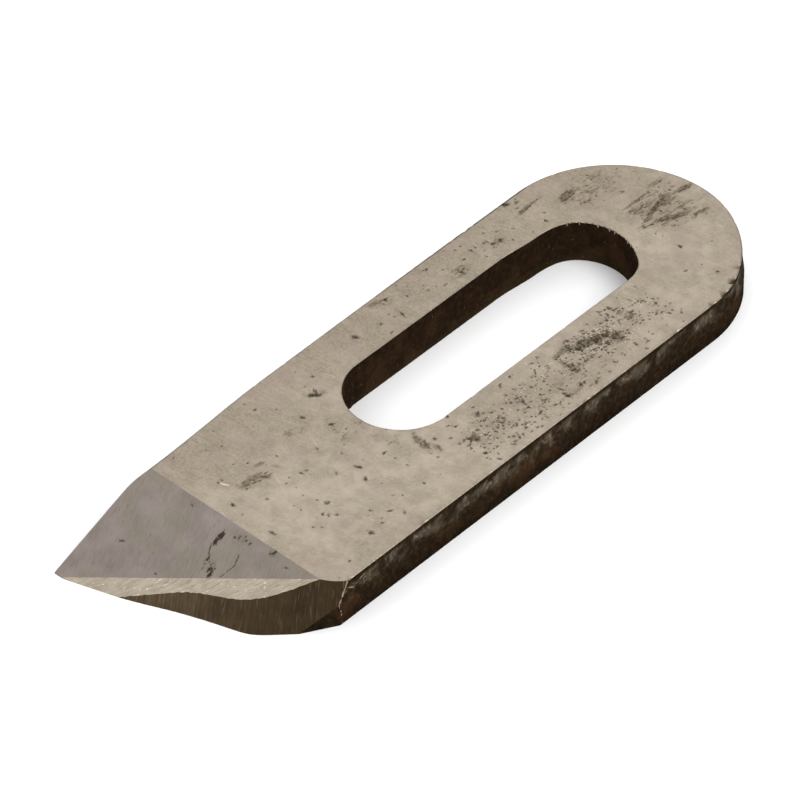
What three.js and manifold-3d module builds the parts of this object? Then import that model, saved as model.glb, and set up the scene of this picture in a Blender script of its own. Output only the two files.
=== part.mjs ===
// The iron of a side rebate plane: one flat bar of tool steel with a rounded far end,
// an off-centre slot for the clamp screw, and a skewed, pointed cutting end.
// Millimetres. X runs across the iron, Y along it towards the rounded end, Z up from its flat back.

import * as THREE from 'three';
import { mergeVertices } from 'three/addons/utils/BufferGeometryUtils.js';
import Module from 'manifold-3d';

const wasm = await Module();
wasm.setup();

// The bar. Its round end is worn a little flat at the right shoulder.
const WIDTH = 16.1;
const LENGTH = 50.3;
const THICKNESS = 3.1;
const END_RADIUS = WIDTH / 2;
const SHOULDER_WEAR = 0.3;
const ARC_STEPS = 32;

// The slot for the clamp screw. It lies nearer the edge that carries the point.
const SLOT_WIDTH = 7.1;
const SLOT_LENGTH = 23.5;
const SLOT_OFFSET = -0.95;
const SLOT_TO_END = 7;

// The point: the left edge curves in a little towards it, and it ends in a narrow nose.
const CAMBER_LENGTH = 37;
const CAMBER_DEPTH = 0.45;
const NOSE_WIDTH = 0.75;

// The lapped bevel falls from a crease across the iron to the point.
const BEVEL_LENGTH = 8.15;
const CREASE_SKEW = 1.5;

// The ridge runs from the nose up to the right end of the crease. The honed strip lies under it.
const RIDGE_END_INSET = 1.35;
const STRIP_SKEW = 16;

// The ground bevel: its lower edge leaves the strip's, and runs back at its own skew.
const GROUND_START = 1.6;
const GROUND_SKEW = 20.4;
const GROUND_DIP = 50.5;

// The heel: the right-hand end of the ground bevel is rounded off into the side in three flats.
// Each has a point that it passes through, the skew of its lower edge, and its dip.
const HEEL = [
  { x: WIDTH / 2, y: -16.45, z: THICKNESS, skew: 51.5, dip: 72 },
  { x: WIDTH / 2, y: -17.05, z: 0, skew: 59, dip: 90 },
  { x: 5.2, y: -20.8, z: 0, skew: 40, dip: 64 },
];

const CUTTER_SIZE = 4 * LENGTH;
const STEEL = { color: 0xb4aa9b, roughness: 0.45, metalness: 1 };

const degrees = THREE.MathUtils.degToRad;
const axis = new THREE.Vector3(0, 0, 1);
const leftEdge = -WIDTH / 2;
const rightEdge = WIDTH / 2;
const frontEnd = -LENGTH / 2;
const endCentre = LENGTH / 2 - END_RADIUS;

// A closed three.js geometry as a solid that can be cut.
function toSolid(geometry) {
  const bare = geometry.clone();
  bare.deleteAttribute('normal');
  bare.deleteAttribute('uv');
  const merged = mergeVertices(bare, 1e-4);
  return new wasm.Manifold(new wasm.Mesh({
    numProp: 3,
    vertProperties: new Float32Array(merged.attributes.position.array),
    triVerts: new Uint32Array(merged.index.array),
  }));
}

function toGeometry(solid) {
  const mesh = solid.getMesh();
  const geometry = new THREE.BufferGeometry();
  geometry.setAttribute('position', new THREE.BufferAttribute(mesh.vertProperties, 3));
  geometry.setIndex(new THREE.BufferAttribute(mesh.triVerts, 1));
  geometry.computeVertexNormals();
  return geometry;
}

// Grinds the solid down to the plane through a point, taking away what lies along the normal.
function grind(solid, point, normal) {
  const outward = normal.clone().normalize();
  const cutter = new THREE.BoxGeometry(CUTTER_SIZE, CUTTER_SIZE, CUTTER_SIZE);
  const turn = new THREE.Quaternion().setFromUnitVectors(axis, outward);
  const centre = point.clone().addScaledVector(outward, CUTTER_SIZE / 2);
  cutter.applyMatrix4(new THREE.Matrix4().compose(centre, turn, new THREE.Vector3(1, 1, 1)));
  return solid.subtract(toSolid(cutter));
}

// The outward normal of a flat at the front, from the skew of its lower edge and its dip from the back.
function frontNormal(skew, dip) {
  const across = degrees(skew);
  const down = degrees(dip);
  return new THREE.Vector3(
    Math.sin(across) * Math.sin(down), -Math.cos(across) * Math.sin(down), Math.cos(down));
}

// The slot as a hole in the bar's outline: two half circles joined by straight sides.
function slotPath() {
  const radius = SLOT_WIDTH / 2;
  const far = LENGTH / 2 - SLOT_TO_END - radius;
  const near = far - (SLOT_LENGTH - SLOT_WIDTH);
  const path = new THREE.Path();
  path.absarc(SLOT_OFFSET, far, radius, 0, Math.PI, false);
  path.absarc(SLOT_OFFSET, near, radius, Math.PI, 2 * Math.PI, false);
  path.closePath();
  return path;
}

// The round end, from the right edge to the left. The wear is deepest at 45 degrees on the right.
function roundEnd(outline) {
  for (let step = 0; step <= ARC_STEPS; step += 1) {
    const angle = Math.PI * step / ARC_STEPS;
    const wear = angle < Math.PI / 2 ? SHOULDER_WEAR * Math.sin(2 * angle) ** 2 : 0;
    const radius = END_RADIUS - wear;
    outline.lineTo(radius * Math.cos(angle), endCentre + radius * Math.sin(angle));
  }
}

// The bar seen from above, with its front still square.
function barOutline() {
  const outline = new THREE.Shape();
  outline.moveTo(leftEdge + CAMBER_DEPTH, frontEnd);
  outline.lineTo(rightEdge, frontEnd);
  roundEnd(outline);
  outline.lineTo(leftEdge, frontEnd + CAMBER_LENGTH);
  outline.quadraticCurveTo(
    leftEdge, frontEnd + CAMBER_LENGTH / 2, leftEdge + CAMBER_DEPTH, frontEnd);
  outline.holes.push(slotPath());
  return outline;
}

// The corners that the front is ground to: the left end of the crease, and both ends of the ridge.
function frontCorners() {
  const tipX = leftEdge + CAMBER_DEPTH;
  const ridgeEndX = rightEdge - RIDGE_END_INSET;
  const creaseLeft = new THREE.Vector3(tipX, frontEnd + BEVEL_LENGTH, THICKNESS);
  const creaseFall = Math.tan(degrees(CREASE_SKEW)) * (ridgeEndX - tipX);
  const ridgeEnd = new THREE.Vector3(ridgeEndX, creaseLeft.y - creaseFall, THICKNESS);
  const nose = new THREE.Vector3(tipX + NOSE_WIDTH, frontEnd, 0);
  return { nose, creaseLeft, ridgeEnd };
}

function lappedBevel(bar, corners) {
  const crease = corners.ridgeEnd.clone().sub(corners.creaseLeft);
  const fall = corners.nose.clone().sub(corners.creaseLeft);
  return grind(bar, corners.nose, fall.cross(crease));
}

function honedStrip(bar, corners) {
  const ridge = corners.ridgeEnd.clone().sub(corners.nose);
  const skew = degrees(STRIP_SKEW);
  const lowerEdge = new THREE.Vector3(Math.cos(skew), Math.sin(skew), 0);
  return grind(bar, corners.nose, lowerEdge.cross(ridge));
}

function groundBevel(bar, corners) {
  const rise = GROUND_START * Math.tan(degrees(STRIP_SKEW));
  const start = corners.nose.clone().add(new THREE.Vector3(GROUND_START, rise, 0));
  return grind(bar, start, frontNormal(GROUND_SKEW, GROUND_DIP));
}

function roundHeel(bar) {
  return HEEL.reduce((solid, flat) => {
    const point = new THREE.Vector3(flat.x, flat.y, flat.z);
    return grind(solid, point, frontNormal(flat.skew, flat.dip));
  }, bar);
}

function planeIron() {
  const bar = toSolid(new THREE.ExtrudeGeometry(barOutline(), {
    depth: THICKNESS, bevelEnabled: false, curveSegments: ARC_STEPS,
  }));
  const corners = frontCorners();
  const bevelled = honedStrip(lappedBevel(bar, corners), corners);
  const iron = roundHeel(groundBevel(bevelled, corners));
  const mesh = new THREE.Mesh(toGeometry(iron), new THREE.MeshStandardMaterial(STEEL));
  mesh.name = 'plane_iron';
  return mesh;
}

const part = new THREE.Group();
part.add(planeIron());

export default part;
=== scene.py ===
"""The loose iron of a side rebate plane, old and much sharpened, lying on a pale studio floor.

It is one bar of tool steel. It is modelled as the real one is made: a bar with a round end is slotted,
its front is ground to a lapped bevel, a honed strip and a hollow-ground bevel, and then it is worn,
pitted and stained. Lengths are in metres. X runs across the iron, Y along it towards the round end.
"""

import math
import random

import bmesh
import bpy
import numpy as np
from mathutils import Matrix, Vector, noise


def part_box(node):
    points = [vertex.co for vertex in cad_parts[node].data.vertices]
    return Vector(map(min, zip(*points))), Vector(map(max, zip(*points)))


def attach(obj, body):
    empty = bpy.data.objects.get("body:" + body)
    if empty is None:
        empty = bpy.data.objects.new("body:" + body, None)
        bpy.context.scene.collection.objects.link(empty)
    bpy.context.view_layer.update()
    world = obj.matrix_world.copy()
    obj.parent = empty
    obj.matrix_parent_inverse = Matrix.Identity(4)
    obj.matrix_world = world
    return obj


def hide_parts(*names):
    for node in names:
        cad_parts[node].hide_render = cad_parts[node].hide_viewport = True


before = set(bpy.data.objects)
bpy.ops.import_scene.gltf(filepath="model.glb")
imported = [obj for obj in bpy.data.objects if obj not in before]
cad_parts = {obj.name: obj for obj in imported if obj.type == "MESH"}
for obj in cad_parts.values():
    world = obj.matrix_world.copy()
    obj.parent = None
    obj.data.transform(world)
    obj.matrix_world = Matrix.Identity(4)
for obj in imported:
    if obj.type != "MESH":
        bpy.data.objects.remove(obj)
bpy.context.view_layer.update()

MM = 0.001
low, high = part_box("plane_iron")
WIDTH, LENGTH, THICKNESS = high - low

# The bar and its slot.
END_RADIUS = WIDTH / 2
END_STEPS = 40
SLOT_WIDTH = 7.1 * MM
SLOT_LENGTH = 23.5 * MM
SLOT_OFFSET = -0.95 * MM
SLOT_TO_END = 7 * MM
SLOT_STEPS = 28
ARRIS = 0.11 * MM
BACK_ARRIS = 0.04 * MM
SLOT_ARRIS = 0.07 * MM

# A half circle stops just short of the bar's middle, so that its two sides do not meet there.
NEARLY_HALF = 0.5 * 0.9995

# The front. The ridge runs from the nose, low on the left, to the right end of the crease.
NOSE = Vector((-6.85 * MM, low.y, 0))
CREASE_LEFT = Vector((-7.6 * MM, low.y + 8.15 * MM, THICKNESS))
CREASE_SKEW = math.radians(1.5)
RIDGE_END_X = 6.7 * MM
STRIP_SKEW = math.radians(16.5)
REMNANT_SKEW = math.radians(59)
REMNANT_POINT = Vector((high.x, -17.05 * MM, 0))

# The grinding wheel. It leaves a shallow hollow under the honed strip, then rolls round the heel. The line
# where the hollow begins climbs to the right, sags between two places, and has a small lip and a ragged
# burr. Each of the sweeps round the heel has a point that it passes through, in millimetres, and its lower
# edge's skew and its dip, in degrees.
HOLLOW_START_X = -3.4 * MM
HOLLOW_CLIMB = 0.3
HOLLOW_SLOPE = 0.1
SAG_START_X = -0.5 * MM
SAG_LENGTH = 7.3 * MM
SAG_DEPTH = 0.6 * MM
BOW_LENGTH = 8.8 * MM
BOW_DEPTH = 0.13 * MM
LIP_LENGTH = 0.3 * MM
LIP_DEPTH = 0.02 * MM
BURR_LENGTH = 0.24 * MM
BURR_DEPTH = 0.045 * MM
SWEEPS = (
    {"through": (8.05, -16.45, 3.1), "skew": 51.5, "dip": 72},
    {"through": (5.6, -20.4, 0), "skew": 45, "dip": 72},
)
SWEEP_BLEND = 0.16 * MM
WHEEL_SIZE = (24 * MM, 9 * MM)
WHEEL_CELLS = (150, 50)
WHEEL_DEPTH = 4 * MM

# How finely the steel is divided, so that pits and nicks are real shapes in it.
CELL = 0.71 * MM
FINE_CUTS = 3

FINISHES = (
    "worn_face", "lapped_bevel", "honed_strip", "ground_bevel", "edge_patina", "slot_patina", "back_face",
)


def smooth(value):
    """0 below 0, 1 above 1, and a soft step between."""
    value = np.clip(value, 0, 1)
    return value * value * (3 - 2 * value)


def select_only(obj):
    """Selects one object and makes it the active one."""
    bpy.ops.object.select_all(action="DESELECT")
    obj.select_set(True)
    bpy.context.view_layer.objects.active = obj


def pick(obj, kind, test):
    """In edit mode, selects the edges or the faces of a mesh that pass a test, and nothing else."""
    bpy.ops.mesh.select_mode(type="EDGE" if kind == "edges" else "FACE")
    bpy.ops.mesh.select_all(action="DESELECT")
    mesh = bmesh.from_edit_mesh(obj.data)
    for item in getattr(mesh, kind):
        item.select_set(bool(test(item)))
    mesh.select_flush_mode()
    bmesh.update_edit_mesh(obj.data)


def assign_selected(obj, finish):
    """In edit mode, gives the selected faces a finish."""
    obj.active_material_index = FINISHES.index(finish)
    bpy.ops.object.material_slot_assign()


def rounded_bar(name, centre, size, both_ends, steps):
    """A bar whose far end, or both ends, are half circles: a cube with its upright edges bevelled."""
    bpy.ops.object.select_all(action="DESELECT")
    bpy.ops.mesh.primitive_cube_add(size=1, location=centre)
    bar = bpy.context.object
    bar.name = bar.data.name = name
    bar.scale = size
    bpy.ops.object.transform_apply(location=True, rotation=True, scale=True)
    bpy.ops.object.mode_set(mode="EDIT")

    def upright_at_round_end(edge):
        first, second = (v.co for v in edge.verts)
        return abs(first.z - second.z) > size[2] / 2 and (both_ends or first.y > centre[1])

    pick(bar, "edges", upright_at_round_end)
    bpy.ops.mesh.bevel(offset=size[0] * NEARLY_HALF, segments=steps, affect="EDGES")
    bpy.ops.object.mode_set(mode="OBJECT")
    return bar


def apply_modifier(obj, kind, **settings):
    """Adds a modifier with its settings and applies it."""
    select_only(obj)
    modifier = obj.modifiers.new(kind.title(), kind)
    for name, value in settings.items():
        setattr(modifier, name, value)
    bpy.ops.object.modifier_apply(modifier=modifier.name)


def cut_away(obj, cutter):
    """Takes a cutter's shape out of an object, and throws the cutter away."""
    apply_modifier(obj, "BOOLEAN", object=cutter, operation="DIFFERENCE", solver="EXACT")
    bpy.data.objects.remove(cutter)


def plane_normal(skew, dip):
    """The outward normal of a flat at the front, from its lower edge's skew and its dip from the back."""
    return Vector((math.sin(skew) * math.sin(dip), -math.cos(skew) * math.sin(dip), math.cos(dip)))


def grind_flat(obj, point, normal, finish):
    """Takes off everything beyond a plane, and gives the new flat its finish."""
    select_only(obj)
    bpy.ops.object.mode_set(mode="EDIT")
    bpy.ops.mesh.select_mode(type="FACE")
    bpy.ops.mesh.select_all(action="SELECT")
    bpy.ops.mesh.bisect(plane_co=point, plane_no=normal, use_fill=True, clear_outer=True)
    assign_selected(obj, finish)
    bpy.ops.object.mode_set(mode="OBJECT")


def add_finishes(obj, materials):
    """Gives a mesh a slot for every finish, in the same order everywhere."""
    for finish in FINISHES:
        obj.data.materials.append(materials[finish])


def finish_by_normal(obj):
    """The plain bar's finishes: its face, its back and its edges."""
    select_only(obj)
    bpy.ops.object.mode_set(mode="EDIT")
    for finish, test in (
        ("worn_face", lambda face: face.normal.z > 0.5),
        ("back_face", lambda face: face.normal.z < -0.5),
        ("edge_patina", lambda face: abs(face.normal.z) <= 0.5),
    ):
        pick(obj, "faces", test)
        assign_selected(obj, finish)
    bpy.ops.object.mode_set(mode="OBJECT")


def soften_rim(obj, width, test):
    """Rounds the sharp edges of the bar's rims that pass a test."""
    select_only(obj)
    bpy.ops.object.mode_set(mode="EDIT")

    def is_rim(edge):
        flat = abs(edge.verts[0].co.z - edge.verts[1].co.z) < 1e-6
        sharp = len(edge.link_faces) == 2 and edge.calc_face_angle(0) > 1
        return flat and sharp and test((edge.verts[0].co + edge.verts[1].co) / 2)

    pick(obj, "edges", is_rim)
    bpy.ops.mesh.bevel(offset=width, segments=2, affect="EDGES")
    bpy.ops.object.mode_set(mode="OBJECT")


def in_slot(point):
    """True near the slot's wall."""
    far = high.y - SLOT_TO_END - SLOT_WIDTH / 2
    near = far - (SLOT_LENGTH - SLOT_WIDTH)
    to_line = Vector((point.x - SLOT_OFFSET, point.y - min(max(point.y, near), far)))
    return to_line.length < SLOT_WIDTH / 2 + 0.5 * MM


def slotted_bar(materials):
    """The bar with its round end and its slot, and softened rims."""
    middle = (low + high) / 2
    bar = rounded_bar("plane_iron_steel", middle, (WIDTH, LENGTH, THICKNESS), False, END_STEPS)
    add_finishes(bar, materials)
    finish_by_normal(bar)
    slot_centre = Vector((SLOT_OFFSET, high.y - SLOT_TO_END - SLOT_LENGTH / 2, middle.z))
    slot_size = (SLOT_WIDTH, SLOT_LENGTH, 3 * THICKNESS)
    cutter = rounded_bar("slot_cutter", slot_centre, slot_size, True, SLOT_STEPS)
    add_finishes(cutter, materials)
    for face in cutter.data.polygons:
        face.material_index = FINISHES.index("slot_patina")
    cut_away(bar, cutter)
    soften_rim(bar, ARRIS, lambda point: not in_slot(point) and point.z > middle.z)
    soften_rim(bar, BACK_ARRIS, lambda point: not in_slot(point) and point.z < middle.z)
    soften_rim(bar, SLOT_ARRIS, in_slot)
    return bar


def hollow(x, z):
    """How far the hollow lies under the strip's plane, at a place across the iron and a height over its back.
    Lower down, the hollow's own line straightens and it bows in the middle."""
    line = HOLLOW_CLIMB * (x - HOLLOW_START_X)
    along_sag = np.clip((x - SAG_START_X) / SAG_LENGTH, 0, 1)
    sag = SAG_DEPTH * np.sin(math.pi * along_sag ** 1.3) ** 1.4
    below = line - sag - z + BURR_DEPTH * noise.noise(Vector((x, 0, 0)) / BURR_LENGTH)
    deep = smooth(below / MM)
    straightened = below + (line - z - below) * deep
    bow = BOW_DEPTH * math.sin(math.pi * np.clip((x - HOLLOW_START_X) / BOW_LENGTH, 0, 1))
    return HOLLOW_SLOPE * straightened + LIP_DEPTH * math.tanh(below / LIP_LENGTH) + bow * deep


def grinding_wheel(strip_point, strip_normal, materials):
    """The space that the wheel takes away: a curved sheet laid on the strip's plane and drawn outwards."""
    bpy.ops.object.select_all(action="DESELECT")
    bpy.ops.mesh.primitive_grid_add(x_subdivisions=WHEEL_CELLS[0], y_subdivisions=WHEEL_CELLS[1], size=1)
    wheel = bpy.context.object
    up_slope = strip_normal.cross(Vector((0, 0, 1)).cross(strip_normal)).normalized()
    across = up_slope.cross(strip_normal)
    turn = Matrix((across, up_slope, strip_normal)).transposed().to_4x4()
    centre = strip_point + across * 9 * MM + up_slope * 1.5 * MM
    size = Matrix.Diagonal((*WHEEL_SIZE, 1, 1))
    wheel.matrix_world = Matrix.Translation(centre) @ turn @ size
    bpy.ops.object.transform_apply(location=True, rotation=True, scale=True)
    for vertex in wheel.data.vertices:
        heights = [-hollow(vertex.co.x, vertex.co.z)]
        for sweep in SWEEPS:
            normal = plane_normal(math.radians(sweep["skew"]), math.radians(sweep["dip"]))
            gap = normal.dot(Vector(sweep["through"]) * MM - vertex.co)
            heights.append(gap / normal.dot(strip_normal))
        total = sum(math.exp(-height / SWEEP_BLEND) for height in heights)
        vertex.co += strip_normal * (-SWEEP_BLEND * math.log(total))
    add_finishes(wheel, materials)
    for face in wheel.data.polygons:
        face.material_index = FINISHES.index("ground_bevel")
    bpy.ops.object.mode_set(mode="EDIT")
    bpy.ops.mesh.select_all(action="SELECT")
    bpy.ops.mesh.extrude_region_move(TRANSFORM_OT_translate={"value": strip_normal * WHEEL_DEPTH})
    bpy.ops.mesh.select_all(action="SELECT")
    bpy.ops.mesh.normals_make_consistent(inside=False)
    bpy.ops.object.mode_set(mode="OBJECT")
    return wheel


def grind_front(bar, materials):
    """Grinds the lapped bevel, the honed strip, the old flat at the heel and then the ground bevel."""
    fall = math.tan(CREASE_SKEW) * (RIDGE_END_X - CREASE_LEFT.x)
    ridge_end = Vector((RIDGE_END_X, CREASE_LEFT.y - fall, THICKNESS))
    lapped = (NOSE - CREASE_LEFT).cross(ridge_end - CREASE_LEFT).normalized()
    lower_edge = Vector((math.cos(STRIP_SKEW), math.sin(STRIP_SKEW), 0))
    strip = lower_edge.cross(ridge_end - NOSE).normalized()
    grind_flat(bar, NOSE, lapped, "lapped_bevel")
    grind_flat(bar, NOSE, strip, "honed_strip")
    grind_flat(bar, REMNANT_POINT, plane_normal(REMNANT_SKEW, math.pi / 2), "edge_patina")
    cut_away(bar, grinding_wheel(NOSE, strip, materials))


# Wear. Lengths in these lists are in millimetres, as (x, y, ...) on the plan of the iron.

# Pits that can be told apart: x, y, radius and depth.
PITS = (
    (-4.6, -5.6, 0.24, 0.12), (-4.75, -5.3, 0.12, 0.07), (-6.3, 0.0, 0.16, 0.09), (-3.7, -7.6, 0.12, 0.06),
    (-2.0, -6.9, 0.12, 0.05), (2.5, -12.2, 0.16, 0.10), (1.8, -8.6, 0.12, 0.08), (2.8, -9.1, 0.11, 0.08),
    (1.9, -16.3, 0.12, 0.05), (6.2, -12.4, 0.14, 0.07), (2.1, -6.7, 0.10, 0.05), (-6.3, -9.0, 0.09, 0.05),
    (-1.5, -16.1, 0.10, 0.05), (3.0, -13.1, 0.09, 0.05), (-0.4, -11.3, 0.08, 0.05), (-0.3, -10.9, 0.07, 0.04),
    (5.8, -10.2, 0.08, 0.04), (3.9, -0.3, 0.14, 0.07), (5.4, -2.0, 0.18, 0.08), (5.0, -2.3, 0.12, 0.07),
    (2.7, -1.7, 0.11, 0.05), (3.5, -3.7, 0.12, 0.05), (5.2, 2.4, 0.13, 0.06), (6.6, -2.6, 0.12, 0.06),
    (-5.6, 3.5, 0.11, 0.06), (-7.3, 3.8, 0.10, 0.05), (-5.5, 8.9, 0.13, 0.06), (-5.9, 12.2, 0.10, 0.05),
    (-5.8, 12.8, 0.10, 0.05), (-7.3, 7.6, 0.09, 0.05), (-7.8, 15.6, 0.14, 0.06), (-5.0, 16.1, 0.10, 0.05),
    (4.6, 8.3, 0.14, 0.07), (4.2, 8.8, 0.12, 0.06), (4.9, 9.6, 0.13, 0.07), (5.0, 10.3, 0.16, 0.08),
    (5.3, 11.1, 0.13, 0.07), (3.5, 12.4, 0.12, 0.07), (4.7, 13.1, 0.12, 0.07), (5.6, 6.6, 0.12, 0.06),
    (6.9, 4.6, 0.12, 0.06), (6.8, 5.9, 0.12, 0.06), (2.95, 19.8, 0.12, 0.07), (4.7, 18.3, 0.08, 0.04),
    (0.8, 22.8, 0.10, 0.05), (-0.5, -18.35, 0.16, 0.06), (-0.45, -18.75, 0.13, 0.06),
    (0.5, -20.2, 0.10, 0.05), (0.7, -20.5, 0.10, 0.06), (-5.5, -21.5, 0.08, 0.04), (0.35, -17.9, 0.07, 0.03),
    (1.1, -17.7, 0.07, 0.03), (3.1, -17.5, 0.10, 0.04), (-2.2, -22.1, 0.07, 0.03), (4.4, -17.85, 0.07, 0.03),
    (-3.4, -17.6, 0.06, 0.03),
)

# Where small pits crowd together: count, x and y limits, radius limits.
PIT_FIELDS = (
    (170, (3.1, 7.7), (-3.2, 15.5), (0.04, 0.09)),
    (50, (3.4, 5.8), (7.6, 12.0), (0.05, 0.11)),
    (45, (4.6, 7.6), (-3.0, 2.5), (0.05, 0.10)),
    (40, (-7.7, -4.9), (1.5, 17.0), (0.04, 0.08)),
    (60, (-7.3, 7.6), (-16.6, -3.5), (0.035, 0.07)),
    (30, (-6.0, 6.5), (17.5, 24.0), (0.035, 0.07)),
)

# How thickly fine pitting covers the face, and where it is stained, as soft ovals: x, y, half length,
# half width, the turn of its length from the iron's in degrees, and strength.
FINE_PITTING = (
    (5.5, 6.0, 10.5, 2.5, 0, 0.6), (4.7, 9.6, 2.8, 1.2, 10, 1.0), (5.9, -1.0, 2.4, 1.4, 0, 0.75),
    (5.0, 13.5, 2.0, 1.6, 0, 0.6), (-6.2, 10.0, 8.0, 1.6, 0, 0.3), (-0.5, 20.5, 2.5, 2.5, 0, 0.3),
    (0.3, -17.7, 1.8, 0.4, -70, 0.5), (-0.5, -18.4, 0.9, 0.35, 10, 0.8),
)
STAINS = (
    (-2.0, -13.6, 1.3, 0.45, 12, 0.65), (-2.5, -12.3, 0.8, 0.3, 60, 0.5), (3.2, -4.5, 0.3, 1.1, 14, 0.9),
    (4.2, -4.2, 0.3, 0.6, 0, 0.6), (-1.2, -7.0, 0.5, 1.4, 10, 0.35), (-3.2, -8.9, 0.9, 0.4, 30, 0.35),
    (0.8, -5.6, 0.6, 2.4, 0, 0.3), (-6.6, 16.4, 1.5, 0.16, -4, 0.9), (-5.4, 18.8, 0.9, 0.5, -10, 0.85),
    (-4.2, 19.1, 0.6, 0.4, 20, 0.6), (-1.9, 21.0, 1.6, 0.13, -3, 0.75), (-2.2, 23.4, 0.9, 0.2, 0, 0.6),
    (-1.3, 20.9, 1.3, 0.5, 10, 0.6), (-0.5, 21.2, 2.0, 0.2, -17, 1.0), (-0.75, 22.6, 0.9, 0.5, -30, 0.8),
    (-0.55, 24.1, 0.9, 0.25, 8, 0.9), (0.75, 21.6, 1.4, 0.3, 27, 1.0), (1.75, 23.2, 0.8, 0.22, 8, 0.85),
    (0.2, 20.0, 0.9, 0.35, 30, 0.55), (0.0, 22.0, 2.8, 2.2, 0, 0.38), (-4.8, 20.6, 2.4, 1.6, 0, 0.36),
    (-7.3, 3.4, 0.9, 0.4, 20, 0.6), (-5.6, 9.0, 0.8, 0.5, 0, 0.6), (-5.7, 12.6, 0.7, 0.4, 0, 0.55),
    (-7.8, 9.8, 0.7, 0.2, 0, 0.5), (-7.8, 15.6, 0.3, 0.3, 0, 0.8), (-4.6, -5.6, 0.5, 0.25, 30, 0.8),
    (4.6, 9.3, 1.9, 0.45, 14, 0.95), (5.4, 10.8, 0.5, 1.0, 0, 0.7), (5.3, 6.7, 0.3, 1.2, 0, 0.7),
    (4.0, 7.3, 0.9, 0.35, 0, 0.6), (4.9, 12.6, 0.4, 1.3, 0, 0.6), (6.9, 5.2, 1.1, 0.3, 0, 0.6),
    (5.3, -1.9, 0.5, 0.5, 0, 0.6), (4.0, -0.3, 0.5, 0.3, 40, 0.5), (5.2, 7.0, 9.0, 1.8, 0, 0.2),
    (-6.0, 20.6, 1.0, 0.5, 10, 0.35), (-0.5, -18.4, 0.75, 0.22, -4, 0.85), (-0.1, -19.9, 0.5, 0.1, -10, 0.8),
    (0.55, -20.2, 0.65, 0.22, -25, 0.95), (0.9, -17.75, 0.25, 1.0, 0, 0.45), (3.1, -17.5, 0.3, 0.25, 0, 0.6),
)

# Hairline scratches that have gone dark, and edges rubbed bare. Each line: its points and half width.
DARK_LINES = (
    (((-0.62, -18.9, 2.44), (-0.35, -19.4, 2.26), (0.15, -19.9, 2.07)), 0.05),
    (((1.35, -18.6, 2.58), (1.62, -19.3, 2.32), (1.5, -19.8, 2.12), (1.36, -20.3, 1.93)), 0.045),
)
BARE_LINES = (
    (((8.0, -16.4, 3.1), (8.0, -16.7, 2.5), (8.0, -17.15, 1.64), (8.02, -16.98, 0.9), (8.0, -16.9, 0)), 0.04),
    (((-3.35, -15.2, 3.1), (-3.1, -15.12, 3.1), (-2.9, -15.0, 3.1)), 0.05),
    (((8.02, -16.6, 2.7), (8.02, -16.0, 2.35), (8.02, -15.5, 2.5), (8.02, -15.0, 2.75)), 0.035),
)

# Chips out of the face's rim: x, y, radius and depth.
CHIPS = (
    (8.0, 17.0, 0.24, 0.08), (7.9, 18.2, 0.34, 0.12), (7.55, 19.5, 0.42, 0.14), (7.0, 20.8, 0.26, 0.08),
    (8.0, 13.4, 0.24, 0.06), (8.0, 5.1, 0.26, 0.05), (8.0, -9.6, 0.25, 0.05), (8.0, -16.2, 0.22, 0.08),
    (-8.0, 12.0, 0.25, 0.05), (-2.9, 24.7, 0.25, 0.06), (-4.4, 11.6, 0.30, 0.07), (-4.4, -5.0, 0.25, 0.06),
)
TEETH_PITCH = math.radians(6.4)
TEETH_DEPTH = 0.06

# The left edge by the point: the strip that gives way, how far and over what length, and its arris, which
# handling has rounded over from ARRIS_FROM_Y towards the point.
EDGE_STRIP = 1.2
EDGE_CAMBER = 0.42
CAMBER_LENGTH = 37
ARRIS_WEAR = 0.42
ARRIS_DEPTH = 0.75
ARRIS_FROM_Y = -7

# The round end's right shoulder is worn a little flat near the face.
SHOULDER_WEAR = 0.18

# The slot's far end is not a true half circle: it is fuller at its right corner, at an angle and within a
# spread in degrees, and the left wall is pinched between two places along the iron.
FULL_CORNER = 0.2
FULL_ANGLE = 33
FULL_SPREAD = 20
PINCHED_WALL = 0.26
PINCH_START_Y, PINCH_RISE = 11.2, 3.5
PINCH_END_Y, PINCH_FALL = 17.5, 2.5

# Relief all over: the sides' lumps and the face's nicked rim.
LUMP_DEPTH = 0.03
NICK_DEPTH = 0.02
GRAIN_SEED = 12


def oval_field(points, ovals):
    """The strength of a set of soft ovals at each point of the plan."""
    field = np.zeros(len(points))
    for x, y, half_length, half_width, turn, strength in ovals:
        angle = math.radians(turn)
        dx, dy = points[:, 0] - x, points[:, 1] - y
        along = (dy * math.cos(angle) + dx * math.sin(angle)) / half_length
        across = (dx * math.cos(angle) - dy * math.sin(angle)) / half_width
        field = np.maximum(field, strength * smooth(1.4 - np.hypot(along, across)))
    return field


def all_pits():
    """The pits placed one by one, and those strewn over each field."""
    dice = random.Random(GRAIN_SEED)
    pits = list(PITS)
    for count, (x_low, x_high), (y_low, y_high), (r_low, r_high) in PIT_FIELDS:
        for _ in range(count):
            radius = r_low + (r_high - r_low) * dice.random() ** 2
            pits.append((dice.uniform(x_low, x_high), dice.uniform(y_low, y_high), radius, 0.5 * radius))
    return pits


def grain(points, size, seed=0):
    """Soft noise from -1 to 1 at points in millimetres, with lumps of a given size."""
    offset = Vector((seed * 17.3, seed * 5.1, seed * 9.7))
    return np.array([noise.noise(Vector(p) / size + offset) for p in points])


def vertex_table(mesh):
    """The places, in millimetres, and the normals of a mesh's vertices."""
    places = np.empty(len(mesh.vertices) * 3)
    normals = np.empty(len(mesh.vertices) * 3)
    mesh.vertices.foreach_get("co", places)
    mesh.vertex_normals.foreach_get("vector", normals)
    return places.reshape(-1, 3) / MM, normals.reshape(-1, 3)


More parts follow.
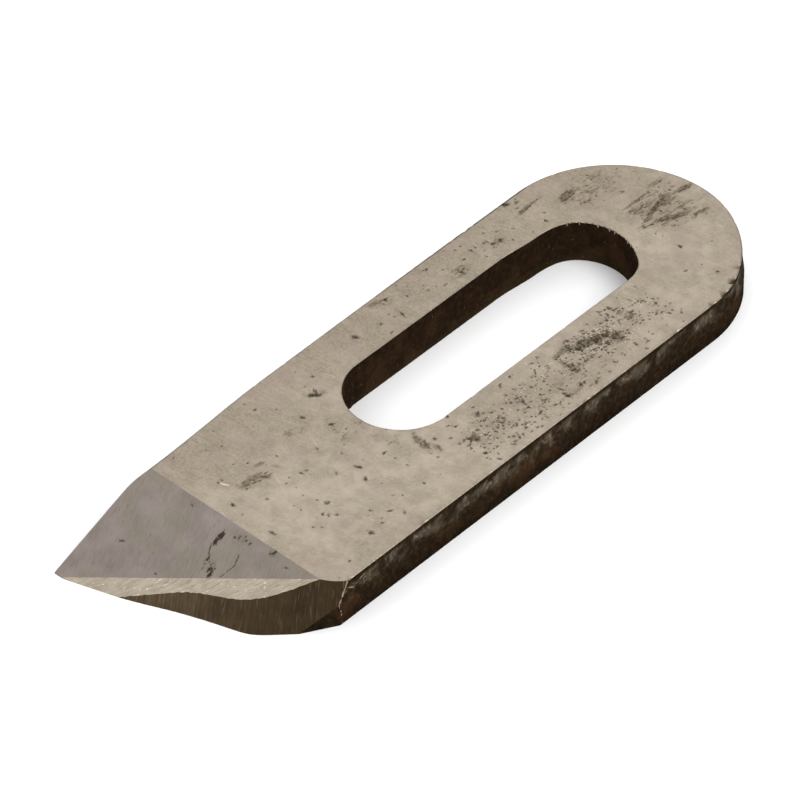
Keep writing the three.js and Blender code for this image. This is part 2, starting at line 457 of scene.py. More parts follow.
def face_centres(mesh):
    """The middles of a mesh's faces, in millimetres."""
    centres = np.empty(len(mesh.polygons) * 3)
    mesh.polygons.foreach_get("center", centres)
    return centres.reshape(-1, 3) / MM


def divide(obj, wanted, cuts):
    """Subdivides the faces marked in a list."""
    select_only(obj)
    bpy.ops.object.mode_set(mode="EDIT")
    pick(obj, "faces", lambda face: wanted[face.index])
    bpy.ops.mesh.subdivide(number_cuts=cuts)
    bpy.ops.object.mode_set(mode="OBJECT")


def slice_into_cells(obj):
    """Cuts the steel along a grid, so that it can be worn: every face but the back's is then divided."""
    select_only(obj)
    bpy.ops.object.mode_set(mode="EDIT")
    for axis in range(3):
        count = round((high[axis] - low[axis]) / CELL)
        direction = Vector((axis == 0, axis == 1, axis == 2))
        for step in range(1, count):
            place = low + direction * (high[axis] - low[axis]) * step / count
            bpy.ops.mesh.select_all(action="SELECT")
            bpy.ops.mesh.bisect(plane_co=place, plane_no=direction)
    pick(obj, "faces", lambda face: len(face.verts) > 4)
    bpy.ops.mesh.quads_convert_to_tris(quad_method="BEAUTY", ngon_method="BEAUTY")
    pick(obj, "faces", lambda face: face.normal.z > -0.5)
    bpy.ops.mesh.subdivide(number_cuts=FINE_CUTS)
    bpy.ops.object.mode_set(mode="OBJECT")


def line_distance(points, line):
    """How far each point is from a line of several pieces."""
    nearest = np.full(len(points), np.inf)
    for start, end in zip(line, line[1:]):
        start, reach = np.array(start), np.array(end) - start
        share = np.clip((points - start) @ reach / (reach @ reach), 0, 1)
        nearest = np.minimum(nearest, np.linalg.norm(points - start - share[:, None] * reach, axis=1))
    return nearest


def refine_marks(obj, pits):
    """Divides the steel again round each pit and line, and once more in the smaller ones."""
    for reach, largest in ((1.3, 1.0), (1.1, 0.13)):
        centres = face_centres(obj.data)
        wanted = np.zeros(len(centres), bool)
        for x, y, radius, _ in pits:
            if radius < largest:
                wanted |= np.hypot(centres[:, 0] - x, centres[:, 1] - y) < reach * radius + 0.05
        wanted &= centres[:, 2] > 1.2
        for line, half_width in DARK_LINES + BARE_LINES:
            wanted |= line_distance(centres, line) < 1.3 * half_width + 0.07
        divide(obj, wanted, 1)


def bend_left_edge(x, y, z):
    """The left edge's slow camber towards the point, and its rounded arris."""
    strip = np.clip((low.x / MM + EDGE_STRIP - x) / EDGE_STRIP, 0, 1)
    to_point = np.clip(low.y / MM + CAMBER_LENGTH - y, 0, None) / CAMBER_LENGTH
    camber = EDGE_CAMBER * to_point ** 1.4
    near_face = np.clip((z - THICKNESS / MM + ARRIS_DEPTH) / ARRIS_DEPTH, 0, 1)
    arris = ARRIS_WEAR * near_face ** 2 * smooth((ARRIS_FROM_Y - y) / 10)
    return x + (camber + arris) * strip


def wear_shoulder(x, y, z):
    """The round end's right shoulder, drawn in towards the end's centre near the face."""
    centre = (high.y - END_RADIUS) / MM
    radius = np.hypot(x, y - centre)
    angle = np.arctan2(y - centre, x)
    worn = np.where((angle > 0) & (angle < math.pi / 2), np.sin(2 * angle) ** 2, 0)
    worn = worn * smooth((z - 1.2) / 1.6)
    share = 1 - SHOULDER_WEAR * worn * smooth((radius - 5) / 2.5) / np.maximum(radius, 1)
    return x * share, centre + (y - centre) * share


def bend_slot_end(x, y):
    """The slot's uneven far end. Only the steel within 2 mm of its wall moves."""
    far = (high.y - SLOT_TO_END - SLOT_WIDTH / 2) / MM
    dx, dy = x - SLOT_OFFSET / MM, y - far
    angle = np.degrees(np.arctan2(dy, dx))
    from_wall = np.hypot(dx, np.maximum(dy, 0)) - SLOT_WIDTH / 2 / MM
    near = smooth(1 - np.abs(from_wall) / 2)
    full = FULL_CORNER * np.exp(-((angle - FULL_ANGLE) / FULL_SPREAD) ** 2) * near
    within = smooth((y - PINCH_START_Y) / PINCH_RISE) * smooth((PINCH_END_Y - y) / PINCH_FALL)
    pinched = PINCHED_WALL * within * (dx < 0) * near
    return x + full * np.cos(np.radians(angle)) + pinched, y + full * np.sin(np.radians(angle))


def bend_outline(points):
    """Where each point goes as the outline is worn and bent."""
    x, y, z = points.T
    x = bend_left_edge(x, y, z)
    x, y = wear_shoulder(x, y, z)
    x, y = bend_slot_end(x, y)
    return np.stack((x, y, z), 1)


def pit_depths(points, normals, pits):
    """How deep each point sinks into a pit, and how rusty it is there. Pits are ragged and a little long."""
    dice = random.Random(GRAIN_SEED + 1)
    depth = np.zeros(len(points))
    rust = np.zeros(len(points))
    on_face = normals[:, 2] > 0.85
    for number, (x, y, radius, pit_depth) in enumerate(pits):
        turn, length = dice.uniform(0, math.pi), dice.uniform(1, 1.7)
        dx, dy = points[:, 0] - x, points[:, 1] - y
        near = np.nonzero(on_face & (np.maximum(abs(dx), abs(dy)) < 2.4 * radius))[0]
        along = (dx[near] * math.cos(turn) + dy[near] * math.sin(turn)) / length
        across = (dy[near] * math.cos(turn) - dx[near] * math.sin(turn)) * math.sqrt(length)
        ragged = 1 + 0.75 * grain(points[near], 0.6 * radius, number)
        reach = np.hypot(along, across) / (1.15 * radius * ragged)
        depth[near] = np.maximum(depth[near], pit_depth * smooth(1.3 * (1 - reach)))
        rust[near] = np.maximum(rust[near], smooth(2 * (1.2 - reach)) * dice.uniform(0.7, 1))
    return depth, rust


def chip_depths(points):
    """How deep the rim's chips are at each point."""
    depth = np.zeros(len(points))
    for x, y, radius, chip_depth in CHIPS:
        away = np.hypot(points[:, 0] - x, points[:, 1] - y)
        near = np.nonzero((away < 1.7 * radius) & (points[:, 2] > 2.3))[0]
        ragged = 1 + 0.6 * grain(points[near], 0.3, 3)
        upper = smooth((points[near, 2] - 2.4) / 0.6)
        bitten = chip_depth * upper * smooth(1.6 * (ragged - away[near] / radius))
        depth[near] = np.maximum(depth[near], bitten)
    return depth


def slot_teeth(points, on_rim):
    """The fine teeth left by the cutter along the slot's far rim, from 0 to 1."""
    far = (high.y - SLOT_TO_END - SLOT_WIDTH / 2) / MM
    dx, dy = points[:, 0] - SLOT_OFFSET / MM, points[:, 1] - far
    angle = np.arctan2(dy, dx)
    at_wall = np.abs(np.hypot(dx, dy) - SLOT_WIDTH / 2 / MM) < 0.25
    here = on_rim & at_wall & (angle > 0.9) & (angle < 2.5)
    return np.where(here, 0.5 + 0.5 * np.sin(2 * math.pi * angle / TEETH_PITCH), 0)


def wear(obj):
    """Sinks pits, chips and nicks into the steel as real shapes, and saves where it is rusty or stained."""
    pits = all_pits()
    slice_into_cells(obj)
    refine_marks(obj, pits)
    points, normals = vertex_table(obj.data)
    depth, rust = pit_depths(points, normals, pits)
    on_rim = (normals[:, 2] > 0.12) & (normals[:, 2] < 0.97) & (points[:, 2] > THICKNESS / MM - 0.25)
    chips = chip_depths(points)
    nicks = NICK_DEPTH * smooth(2.2 * grain(points, 0.5, 1) - 0.3) * on_rim
    on_side = np.abs(normals[:, 2]) < 0.3
    lumps = 0.5 + 0.5 * grain(points, 1.1, 2) + 0.35 * grain(points, 0.35, 5)
    lumps = LUMP_DEPTH * np.clip(lumps, 0, 1) * on_side
    teeth = slot_teeth(points, on_rim)
    depth = np.maximum(depth, chips) + nicks + lumps + TEETH_DEPTH * teeth
    moved = bend_outline(points - normals * depth[:, None])
    obj.data.vertices.foreach_set("co", (moved * MM).ravel())
    bare = 0.8 * smooth(3 * (teeth - 0.7)) * (grain(points, 0.5, 8) > 0)
    for line, half_width in BARE_LINES:
        ragged = half_width * (1 + 1.5 * grain(points, 0.2, 6))
        bare = np.maximum(bare, smooth(1.6 * (1.2 - line_distance(points, line) / np.maximum(ragged, 0.01))))
    for line, half_width in DARK_LINES:
        ragged = half_width * (1 + 0.9 * grain(points, 0.12, 7))
        scratch = smooth(1.6 * (1.1 - line_distance(points, line) / np.maximum(ragged, 0.01)))
        rust = np.maximum(rust, 0.8 * scratch)
    save_field(obj, "rust", np.maximum(rust, smooth(chips / 0.14)))
    save_field(obj, "bare", bare)
    save_field(obj, "fine_pitting", oval_field(points, FINE_PITTING))
    save_field(obj, "stain", oval_field(points, STAINS))
    obj.data.update()


def save_field(obj, name, values):
    """Keeps a value for each vertex as a named attribute, for the materials to read."""
    attribute = obj.data.attributes.new(name, "FLOAT", "POINT")
    attribute.data.foreach_set("value", values.astype(np.float32))


def shade(obj):
    """Smooth within each ground surface, sharp where two of them meet."""
    select_only(obj)
    bpy.ops.object.mode_set(mode="EDIT")

    def between_flats(edge):
        finishes = {FINISHES[face.material_index] for face in edge.link_faces}
        return len(finishes) == 2 and not finishes & {"edge_patina", "slot_patina"}

    pick(obj, "edges", between_flats)
    bpy.ops.mesh.mark_sharp()
    bpy.ops.object.mode_set(mode="OBJECT")
    bpy.ops.object.shade_smooth_by_angle(angle=math.radians(50), keep_sharp_edges=True)


# Materials. All of them are one old tool steel, so they differ in how the surface was made and has aged, and
# in some painted light and shade: a painted reflection on the lapped bevel, painted highlights on the honed
# strip and painted shade on the ground bevel.
# Real grinding and lapping marks are finer than 0.1 mm, so they are drawn about that coarse to show.

MIX_FACTOR, MIX_UNDER, MIX_OVER, MIX_RESULT = 0, 6, 7, 2
SCRATCH_EDGES = (0.68, 0.76)
LARGEST_SPECK = 0.42
SPECK_RIM = 0.12


def srgb(code):
    """An sRGB hex value as a linear colour."""
    parts = [int(code[i:i + 2], 16) / 255 for i in (0, 2, 4)]
    return (*[p / 12.92 if p <= 0.04045 else ((p + 0.055) / 1.055) ** 2.4 for p in parts], 1)


def add_node(tree, kind, inputs, output=0, **settings):
    """Adds a node with its settings, sets or links its inputs, and gives back one of its outputs."""
    made = tree.nodes.new("ShaderNode" + kind)
    for name, value in settings.items():
        setattr(made, name, value)
    for name, value in inputs.items():
        if isinstance(value, bpy.types.NodeSocket):
            tree.links.new(value, made.inputs[name])
        else:
            made.inputs[name].default_value = value
    return made.outputs[output]


def new_steel(name):
    """A new material, its node tree, its shader and the place on the iron, in metres."""
    material = bpy.data.materials.new(name)
    material.use_nodes = True
    tree = material.node_tree
    return material, tree, tree.nodes["Principled BSDF"], add_node(tree, "TexCoord", {}, "Object")


def layer(tree, under, over, *masks):
    """Lays an sRGB colour over what is under it, as strongly as all of the masks multiplied together."""
    strength = masks[0]
    for mask in masks[1:]:
        strength = add_node(tree, "Math", {0: strength, 1: mask}, operation="MULTIPLY")
    inputs = {MIX_FACTOR: strength, MIX_UNDER: under, MIX_OVER: srgb(over)}
    return add_node(tree, "Mix", inputs, MIX_RESULT, data_type="RGBA")


def ramp(tree, place, axis, start, end):
    """A soft step from 0 to 1 between two places along an axis."""
    along = add_node(tree, "SeparateXYZ", {"Vector": place}, axis)
    limits = {"Value": along, "From Min": start, "From Max": end}
    return add_node(tree, "MapRange", limits, interpolation_type="SMOOTHSTEP")


def streaks(tree, place, length, spacing, turn, detail=2.0, edges=(0.35, 0.65)):
    """Long marks of a given length and spacing, turned from the X axis, as a value from 0 to 1."""
    turned = {"Vector": place, "Rotation": (0, 0, math.radians(turn)), "Scale": (length, spacing, length)}
    laid = add_node(tree, "Mapping", turned, vector_type="TEXTURE")
    marks = add_node(tree, "TexNoise", {"Vector": laid, "Scale": 1.0, "Detail": detail}, "Fac")
    limits = {"Value": marks, "From Min": edges[0], "From Max": edges[1]}
    return add_node(tree, "MapRange", limits, interpolation_type="SMOOTHSTEP")


def clouds(tree, place, size, detail=3.0, edges=(0.3, 0.7)):
    """Soft patches of a given size, from 0 to 1."""
    return streaks(tree, place, size, size, 0, detail, edges)


def warped(tree, place, size, amount):
    """The place pushed about by soft noise, so that what is laid on it grows ragged or curved."""
    laid = add_node(tree, "Mapping", {"Vector": place, "Scale": (size,) * 3}, vector_type="TEXTURE")
    push = add_node(tree, "TexNoise", {"Vector": laid, "Scale": 1.0, "Detail": 2.0}, "Color")
    centred = add_node(tree, "VectorMath", {0: push, 1: (0.5, 0.5, 0.5)}, operation="SUBTRACT")
    scaled = add_node(tree, "VectorMath", {0: centred, "Scale": 2 * amount}, operation="SCALE")
    return add_node(tree, "VectorMath", {0: place, 1: scaled}, operation="ADD")


def blotches(tree, place, strength, length, spacing):
    """Ragged blotches drawn out along the iron, which cover more where the strength is high."""
    grainy = streaks(tree, place, length, spacing, 84, 6.0, (0.2, 0.8))
    share = add_node(tree, "Math", {0: grainy, 1: 0.55}, operation="MULTIPLY")
    total = add_node(tree, "Math", {0: strength, 1: 0.45, 2: share}, operation="MULTIPLY_ADD")
    limits = {"Value": total, "From Min": 0.48, "From Max": 0.62}
    return add_node(tree, "MapRange", limits, interpolation_type="SMOOTHSTEP")


def specks(tree, place, spacing, density):
    """Ragged specks, one to a cell at most, larger and more of them where the density is high. Each cell
    draws two lots: the first says whether it has a speck and how large, the second how strong it is."""
    ragged = warped(tree, place, 0.4 * spacing, 0.3 * spacing)
    laid = add_node(tree, "Mapping", {"Vector": ragged, "Scale": (spacing,) * 3}, vector_type="TEXTURE")
    away = add_node(tree, "TexVoronoi", {"Vector": laid, "Scale": 1.0}, "Distance", voronoi_dimensions="2D")
    first = add_node(tree, "SeparateColor", {"Color": away.node.outputs["Color"]}, "Red")
    second = first.node.outputs["Green"]
    chosen = add_node(tree, "Math", {0: density, 1: first}, operation="SUBTRACT", use_clamp=True)
    grown = add_node(tree, "Math", {0: chosen, 1: 3.0}, operation="MULTIPLY", use_clamp=True)
    size = add_node(tree, "Math", {0: grown, 1: LARGEST_SPECK}, operation="MULTIPLY")
    depth = add_node(tree, "Math", {0: size, 1: away}, operation="SUBTRACT")
    limits = {"Value": depth, "From Min": 0.0, "From Max": SPECK_RIM}
    inside = add_node(tree, "MapRange", limits, interpolation_type="SMOOTHSTEP")
    strength = add_node(tree, "MapRange", {"Value": second, "To Min": 0.45, "To Max": 1.0})
    return add_node(tree, "Math", {0: inside, 1: strength}, operation="MULTIPLY")


def finish_steel(tree, shader, colour, rough, metal, height, depth):
    """Links a steel's colour, roughness and metallic, and a relief of a given depth. The roughness and the
    metallic are each a mask, the value where it is 0 and the value where it is 1. Where the steel is not
    metallic it is porous oxide, which has no gloss of its own."""
    tree.links.new(colour, shader.inputs["Base Color"])
    for name, (mask, at_0, at_1) in {"Roughness": rough, "Metallic": metal}.items():
        value = add_node(tree, "MapRange", {"Value": mask, "To Min": at_0, "To Max": at_1})
        tree.links.new(value, shader.inputs[name])
    shader.inputs["Specular IOR Level"].default_value = 0.0
    relief = add_node(tree, "Bump", {"Height": height, "Strength": 1.0, "Distance": depth})
    tree.links.new(relief, shader.inputs["Normal"])


def worn_face():
    """The face: once ground and long since worn dull. Warm grey, mottled, with fine marks across it, a few
    curved scratches, black-brown pits and smears of old stain. It is duller on the left, and its left rim
    has kept a dark patina."""
    material, tree, shader, place = new_steel("worn_ground_steel")
    across = streaks(tree, place, 2.2 * MM, 0.10 * MM, 4, 3.0)
    mottle = clouds(tree, place, 0.9 * MM, 5.0)
    grit = clouds(tree, place, 0.16 * MM, 3.0)
    curved = warped(tree, place, 3 * MM, 0.45 * MM)
    leftward = streaks(tree, curved, 1.6 * MM, 0.06 * MM, -24, 2.0, SCRATCH_EDGES)
    rightward = streaks(tree, curved, 2.4 * MM, 0.07 * MM, 20, 2.0, SCRATCH_EDGES)
    scratch = add_node(tree, "Math", {0: leftward, 1: rightward}, operation="MAXIMUM")
    steel = layer(tree, srgb("8C8172"), "9E9384", clouds(tree, place, 4 * MM))
    duller_left = ramp(tree, warped(tree, place, 6 * MM, 3 * MM), "X", 1 * MM, -8 * MM)
    steel = layer(tree, steel, "7A6F60", duller_left, 0.75)
    steel = layer(tree, steel, "B0A697", across, 0.15)
    steel = layer(tree, steel, "7C7265", mottle, 0.4)
    steel = layer(tree, steel, "A89E8F", grit, 0.35)
    steel = layer(tree, steel, "998A80", clouds(tree, place, 2.4 * MM, 3.0, (0.5, 0.62)), 0.35)
    steel = layer(tree, steel, "C2B8A9", scratch, 0.35)

    stain = add_node(tree, "Attribute", {}, "Fac", attribute_name="stain")
    smear = blotches(tree, place, stain, 0.9 * MM, 0.3 * MM)
    inner_stain = add_node(tree, "Math", {0: stain, 1: 0.7}, operation="MULTIPLY")
    core = blotches(tree, place, inner_stain, 0.25 * MM, 0.14 * MM)
    steel = layer(tree, steel, "6E634F", stain, clouds(tree, place, 0.8 * MM, 4.0, (0.25, 0.6)), 0.6)
    steel = layer(tree, steel, "4F4533", smear, 0.38)
    steel = layer(tree, steel, "2F261B", core, 0.6)

    pitting = add_node(tree, "Attribute", {}, "Fac", attribute_name="fine_pitting")
    steel = layer(tree, steel, "5F5444", pitting, clouds(tree, place, 0.13 * MM, 3.0, (0.5, 0.66)), 0.4)
    at_rim = ramp(tree, place, "X", -7.86 * MM, -7.95 * MM)
    patchy = clouds(tree, place, 0.8 * MM, 4.0, (0.3, 0.6))
    patchy = add_node(tree, "MapRange", {"Value": patchy, "To Min": 0.4, "To Max": 0.9})
    left_rim = add_node(tree, "Math", {0: at_rim, 1: patchy}, operation="MULTIPLY")
    steel = layer(tree, steel, "3A3127", left_rim)
    density = add_node(tree, "Math", {0: pitting, 1: 0.5, 2: 0.03}, operation="MULTIPLY_ADD")
    thinner = add_node(tree, "Math", {0: density, 1: 0.9}, operation="MULTIPLY")
    steel = layer(tree, steel, "C6BCAD", specks(tree, place, 0.19 * MM, thinner), 0.6)
    rust = add_node(tree, "Attribute", {}, "Fac", attribute_name="rust")
    small_pits = specks(tree, place, 0.24 * MM, density)
    pits = add_node(tree, "Math", {0: small_pits, 1: rust}, operation="MAXIMUM")
    steel = layer(tree, steel, "2A2016", pits, 0.85)
    bare = add_node(tree, "Attribute", {}, "Fac", attribute_name="bare")
    steel = layer(tree, steel, "DACEBC", bare, 0.6)

    stained = add_node(tree, "Math", {0: smear, 1: core}, operation="MAXIMUM")
    stained = add_node(tree, "Math", {0: stained, 1: 0.6}, operation="MULTIPLY")
    rusty = add_node(tree, "Math", {0: pits, 1: left_rim}, operation="MAXIMUM")
    dull = add_node(tree, "Math", {0: stained, 1: rusty}, operation="MAXIMUM")
    most_rough = add_node(tree, "Math", {0: dull, 1: 0.75}, operation="MULTIPLY")
    rough = add_node(tree, "Math", {0: mottle, 1: 0.25, 2: most_rough}, operation="MULTIPLY_ADD")
    sunken = add_node(tree, "Math", {0: dull, 1: -0.6, 2: 0.6}, operation="MULTIPLY_ADD")
    ridged = add_node(tree, "Math", {0: across, 1: 0.2, 2: sunken}, operation="MULTIPLY_ADD")
    height = add_node(tree, "Math", {0: grit, 1: 0.2, 2: ridged}, operation="MULTIPLY_ADD")
    finish_steel(tree, shader, steel, (rough, 0.36, 0.76), (dull, 1.0, 0.1), height, 0.014 * MM)
    return material


def lapped_bevel():
    """The lapped bevel: rubbed on a fine stone, so smooth and cooler than the face. Its darker tone is a
    painted reflection of darker surroundings, laid into its colour. It has faint marks down the slope, a
    greenish cast in places and a few old pits."""
    material, tree, shader, place = new_steel("lapped_steel")
    fine = streaks(tree, place, 0.8 * MM, 0.12 * MM, 113, 3.0, (0.42, 0.7))
    faint = streaks(tree, place, 0.6 * MM, 0.1 * MM, 110, 2.0, (0.62, 0.75))
    cloud = clouds(tree, place, 1.8 * MM, 4.0)
    # The base tone is painted darker than the face's, as a painted reflection of darker surroundings; the
    # cooler grey is the lapped steel's own.
    steel = layer(tree, srgb("7C726C"), "8B817B", cloud)
    steel = layer(tree, steel, "7F7968", clouds(tree, place, 3 * MM, 3.0, (0.46, 0.6)), 0.5)
    steel = layer(tree, steel, "989086", fine, 0.22)
    steel = layer(tree, steel, "5C5048", faint, 0.5)
    stain = add_node(tree, "Attribute", {}, "Fac", attribute_name="stain")
    steel = layer(tree, steel, "5F5348", stain, 0.3)
    inner_stain = add_node(tree, "Math", {0: stain, 1: 0.85}, operation="MULTIPLY")
    spots = blotches(tree, place, inner_stain, 0.22 * MM, 0.14 * MM)
    rust = add_node(tree, "Attribute", {}, "Fac", attribute_name="rust")
    pitting = add_node(tree, "Attribute", {}, "Fac", attribute_name="fine_pitting")
    density = add_node(tree, "Math", {0: pitting, 1: 0.35, 2: 0.02}, operation="MULTIPLY_ADD")
    small_pits = specks(tree, place, 0.22 * MM, density)
    small_pits = add_node(tree, "Math", {0: small_pits, 1: 0.8}, operation="MULTIPLY")
    oxide = add_node(tree, "Math", {0: spots, 1: rust}, operation="MAXIMUM")
    oxide = add_node(tree, "Math", {0: oxide, 1: small_pits}, operation="MAXIMUM")
    steel = layer(tree, steel, "2A1F14", oxide, 0.88)
    most_rough = add_node(tree, "Math", {0: oxide, 1: 0.85}, operation="MULTIPLY")
    rough = add_node(tree, "Math", {0: cloud, 1: 0.15, 2: most_rough}, operation="MULTIPLY_ADD")
    ridged = add_node(tree, "MapRange", {"Value": fine, "To Min": 0.8, "To Max": 1.0})
    height = add_node(tree, "Math", {0: ridged, 1: oxide}, operation="SUBTRACT", use_clamp=True)
    finish_steel(tree, shader, steel, (rough, 0.28, 0.69), (oxide, 1.0, 0.3), height, 0.006 * MM)
    return material


def honed_strip():
    """The honed strip: the brightest steel here, with coarse slanting marks from the stone, the palest of
    them painted near white as painted highlights.
    """
    material, tree, shader, place = new_steel("honed_steel")
    bent = warped(tree, place, 1.5 * MM, 0.15 * MM)
    slant = streaks(tree, bent, 0.9 * MM, 0.14 * MM, 48, 3.0, (0.3, 0.7))
    dark = streaks(tree, bent, 0.7 * MM, 0.11 * MM, 50, 3.0, (0.57, 0.7))
    painted_glint = streaks(tree, bent, 0.4 * MM, 0.06 * MM, 50, 2.0, (0.66, 0.73))
    steel = layer(tree, srgb("938878"), "A39988", clouds(tree, place, 0.9 * MM))
    steel = layer(tree, steel, "C4BAA8", slant, 0.45)
    steel = layer(tree, steel, "655A4B", dark, 0.4)
    # Painted highlights: the palest marks are laid in near white, standing in for the shine of the stone's
    # marks.
    steel = layer(tree, steel, "E8E0D0", painted_glint)
    half_dark = add_node(tree, "Math", {0: dark, 1: 0.5}, operation="MULTIPLY")
    height = add_node(tree, "Math", {0: slant, 1: half_dark}, operation="SUBTRACT", use_clamp=True)
    finish_steel(tree, shader, steel, (slant, 0.3, 0.42), (dark, 1.0, 0.8), height, 0.01 * MM)
    return material


def ground_bevel():
    """The ground bevel: coarse wheel marks down the slope, long since browned, and painted darker to the
    right as painted shade where the bevel turns steeper round the heel; some of the marks are rubbed light
    again."""
    material, tree, shader, place = new_steel("coarse_ground_steel")
    bent = warped(tree, place, 2.5 * MM, 0.12 * MM)
    coarse = streaks(tree, bent, 4 * MM, 0.15 * MM, 118, 4.0, (0.3, 0.7))
    light = streaks(tree, bent, 1.2 * MM, 0.09 * MM, 117, 2.0, (0.55, 0.78))
    steel = layer(tree, srgb("4D4131"), "5F4F3D", clouds(tree, place, 1.1 * MM, 4.0))
    # Darker to the right: painted shade, where the bevel turns steeper towards the heel.
    steel = layer(tree, steel, "2B2214", ramp(tree, place, "X", -2 * MM, 7.5 * MM), 0.7)
    steel = layer(tree, steel, "2C2318", coarse, 0.35)
    steel = layer(tree, steel, "84765C", light, 0.4)
    steel = layer(tree, steel, "6A4A3A", clouds(tree, place, 0.5 * MM, 4.0, (0.56, 0.72)), 0.2)
    bare = add_node(tree, "Attribute", {}, "Fac", attribute_name="bare")
    steel = layer(tree, steel, "B09A82", bare, 0.75)
    finish_steel(tree, shader, steel, (coarse, 0.42, 0.56), (light, 0.65, 0.95), coarse, 0.02 * MM)
    return material


def edge_patina():
    """The bar's edges: near black, blackest at the foot, with patches of brown rust. A band near the face is
    rubbed grey, with light slanting scuffs and flecks, and a dark line is left right under the rim."""
    material, tree, shader, place = new_steel("patinated_steel_edge")
    ragged = warped(tree, place, 0.7 * MM, 0.6 * MM)
    patchy = clouds(tree, place, 1.3 * MM, 6.0, (0.42, 0.6))
    patchy = add_node(tree, "MapRange", {"Value": patchy, "To Min": 0.05, "To Max": 0.9})
    upper = ramp(tree, ragged, "Z", 1.3 * MM, 2.4 * MM)
    under_rim = ramp(tree, place, "Z", 2.92 * MM, 2.6 * MM)
    band = add_node(tree, "Math", {0: upper, 1: under_rim}, operation="MULTIPLY")
    band = add_node(tree, "Math", {0: band, 1: patchy}, operation="MULTIPLY")
    steel = layer(tree, srgb("21180F"), "352415", clouds(tree, place, 2.6 * MM, 4.0, (0.5, 0.68)))
    fine = clouds(tree, place, 0.35 * MM, 5.0, (0.42, 0.75))
    steel = layer(tree, steel, "4A3B29", fine, 0.35)
    steel = layer(tree, steel, "130D08", ramp(tree, ragged, "Z", 1.3 * MM, 0.2 * MM), 0.5)
    steel = layer(tree, steel, "4E4435", band)
    in_band = add_node(tree, "MapRange", {"Value": band, "To Min": 0.05, "To Max": 0.9})
    scuff = streaks(tree, ragged, 0.9 * MM, 0.16 * MM, 48, 4.0, (0.5, 0.68))
    scuff = add_node(tree, "Math", {0: scuff, 1: in_band}, operation="MULTIPLY")
    steel = layer(tree, steel, "776C5C", scuff)
    fleck = clouds(tree, place, 0.2 * MM, 2.0, (0.68, 0.77))
    fleck = add_node(tree, "Math", {0: fleck, 1: in_band}, operation="MULTIPLY")
    steel = layer(tree, steel, "A89C8C", fleck)
    bare = add_node(tree, "Attribute", {}, "Fac", attribute_name="bare")
    steel = layer(tree, steel, "B09A82", bare, 0.75)
    rubbed = band
    for mark in (scuff, fleck, bare):
        rubbed = add_node(tree, "Math", {0: rubbed, 1: mark}, operation="MAXIMUM")
    finish_steel(tree, shader, steel, (fine, 0.62, 0.45), (rubbed, 0.02, 0.8), fine, 0.04 * MM)
    return material


def slot_patina():
    """The slot's wall: dark brown, a little greener low down, and scuffed here and there by the screw."""
    material, tree, shader, place = new_steel("patinated_steel_slot")
    steel = layer(tree, srgb("22180F"), "352518", clouds(tree, place, 1.8 * MM, 4.0, (0.4, 0.7)))
    steel = layer(tree, steel, "33321F", ramp(tree, place, "Z", 0.8 * MM, 0), 0.35)
    fine = clouds(tree, place, 0.35 * MM, 5.0, (0.42, 0.75))
    steel = layer(tree, steel, "463524", fine, 0.3)
    bent = warped(tree, place, 1 * MM, 0.3 * MM)
    scuff = streaks(tree, bent, 0.4 * MM, 0.1 * MM, 30, 3.0, (0.7, 0.76))
    steel = layer(tree, steel, "94866F", scuff, 0.7)
    bare = add_node(tree, "Attribute", {}, "Fac", attribute_name="bare")
    steel = layer(tree, steel, "D8CDBD", bare)
    rubbed = add_node(tree, "Math", {0: scuff, 1: bare}, operation="MAXIMUM")
    finish_steel(tree, shader, steel, (fine, 0.62, 0.45), (rubbed, 0.05, 0.8), fine, 0.04 * MM)
    return material


def back_face():
    """The back: it lay flat on the bed, so it has kept its grinding marks along the iron, with stains."""
    material, tree, shader, place = new_steel("ground_steel_back")
    along = streaks(tree, place, 6 * MM, 0.12 * MM, 88, 3.0)
    steel = layer(tree, srgb("81776A"), "978D7E", clouds(tree, place, 4 * MM, 4.0))
    steel = layer(tree, steel, "B2A898", along, 0.3)
    stain = clouds(tree, place, 5 * MM, 3.0, (0.45, 0.8))
    blot = blotches(tree, place, stain, 1.2 * MM, 0.7 * MM)
    steel = layer(tree, steel, "41352A", blot, 0.7)
    density = add_node(tree, "MapRange", {"Value": stain, "To Min": 0.05, "To Max": 0.4})
    small_pits = specks(tree, place, 0.3 * MM, density)
    steel = layer(tree, steel, "2A2018", small_pits, 0.8)
    stained = add_node(tree, "Math", {0: blot, 1: 0.6}, operation="MULTIPLY")
    dull = add_node(tree, "Math", {0: stained, 1: small_pits}, operation="MAXIMUM")
    most_rough = add_node(tree, "Math", {0: dull, 1: 0.7}, operation="MULTIPLY")
    rough = add_node(tree, "Math", {0: along, 1: 0.3, 2: most_rough}, operation="MULTIPLY_ADD")
    finish_steel(tree, shader, steel, (rough, 0.34, 0.69), (dull, 1.0, 0.3), along, 0.008 * MM)
    return material


# The camera: where it stands round the iron and over the floor, how far off, and what it looks at, which is
# a point on the floor moved a little to the left and up in the view.
CAMERA_AZIMUTH = math.radians(42)
CAMERA_ELEVATION = math.radians(41.7)
CAMERA_DISTANCE = 400 * MM
CAMERA_LENS = 296.1
CAMERA_AIM = Vector((0.05, -1.85, 0)) * MM
AIM_LEFT = 0.751 * MM
AIM_UP = 2.194 * MM


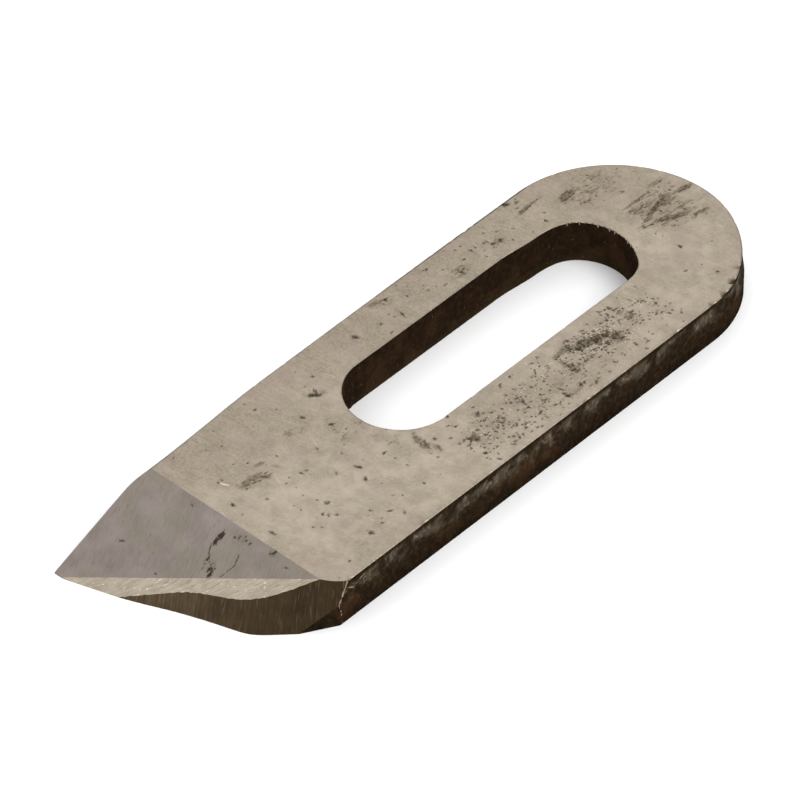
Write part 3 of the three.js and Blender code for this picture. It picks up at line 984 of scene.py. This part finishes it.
def add_camera():
    """The camera looks along the iron from the front right, a little over 40 degrees above the floor."""
    azimuth, elevation = CAMERA_AZIMUTH, CAMERA_ELEVATION
    back = Vector((math.sin(azimuth) * math.cos(elevation), -math.cos(azimuth) * math.cos(elevation),
                   math.sin(elevation)))
    right = Vector((math.cos(azimuth), math.sin(azimuth), 0))
    up = back.cross(right)
    camera = bpy.data.objects.new("camera", bpy.data.cameras.new("camera"))
    bpy.context.collection.objects.link(camera)
    target = CAMERA_AIM - right * AIM_LEFT + up * AIM_UP
    camera.location = target + back * CAMERA_DISTANCE
    camera.rotation_euler = (math.pi / 2 - elevation, 0, azimuth)
    camera.data.lens = CAMERA_LENS
    camera.data.sensor_width = 36
    camera.data.clip_start = 0.01
    bpy.context.scene.camera = camera


def add_light(name, location, size, radiance, colour):
    """A soft panel that faces the iron. It is as bright as its radiance, where a white wall here is 1."""
    light = bpy.data.objects.new(name, bpy.data.lights.new(name, "AREA"))
    light.data.shape = "RECTANGLE"
    light.data.size, light.data.size_y = size
    light.data.energy = radiance * math.pi * size[0] * size[1]
    light.data.color = colour
    light.location = location
    light.rotation_euler = (-Vector(location)).to_track_quat("-Z", "Y").to_euler()
    bpy.context.collection.objects.link(light)


def add_studio():
    """A white paper floor under soft even light, a large softbox to the right and dim panels round it."""
    bpy.ops.object.select_all(action="DESELECT")
    bpy.ops.mesh.primitive_plane_add(size=4, location=(0, 0, 0))
    floor = bpy.context.object
    floor.name = "floor"
    paper = bpy.data.materials.new("white_paper")
    paper.use_nodes = True
    shader = paper.node_tree.nodes["Principled BSDF"]
    shader.inputs["Base Color"].default_value = (0.9, 0.9, 0.9, 1)
    shader.inputs["Roughness"].default_value = 0.9
    floor.data.materials.append(paper)
    world = bpy.context.scene.world or bpy.data.worlds.new("world")
    bpy.context.scene.world = world
    world.use_nodes = True
    world.node_tree.nodes["Background"].inputs["Color"].default_value = (1, 1, 1, 1)
    world.node_tree.nodes["Background"].inputs["Strength"].default_value = 0.75
    add_light("key_softbox", (0.32, 0.08, 0.55), (0.4, 0.4), 5, (1, 1, 1))
    add_light("back_softbox", (-0.45, 0.5, 0.6), (0.7, 0.7), 0.9, (1, 0.99, 0.97))
    add_light("front_softbox", (0.05, -0.75, 0.75), (0.8, 0.5), 0.9, (1, 1, 1))
    add_light("dim_overhead_panel", (-0.31, -0.02, 0.51), (0.42, 0.42), 0.5, (0.95, 0.96, 1))
    bpy.context.scene.view_settings.view_transform = "Standard"


materials = {
    "worn_face": worn_face(), "lapped_bevel": lapped_bevel(), "honed_strip": honed_strip(),
    "ground_bevel": ground_bevel(), "edge_patina": edge_patina(), "slot_patina": slot_patina(),
    "back_face": back_face(),
}
iron = slotted_bar(materials)
grind_front(iron, materials)
wear(iron)
shade(iron)
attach(iron, "root")
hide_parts("plane_iron")
add_camera()
add_studio()
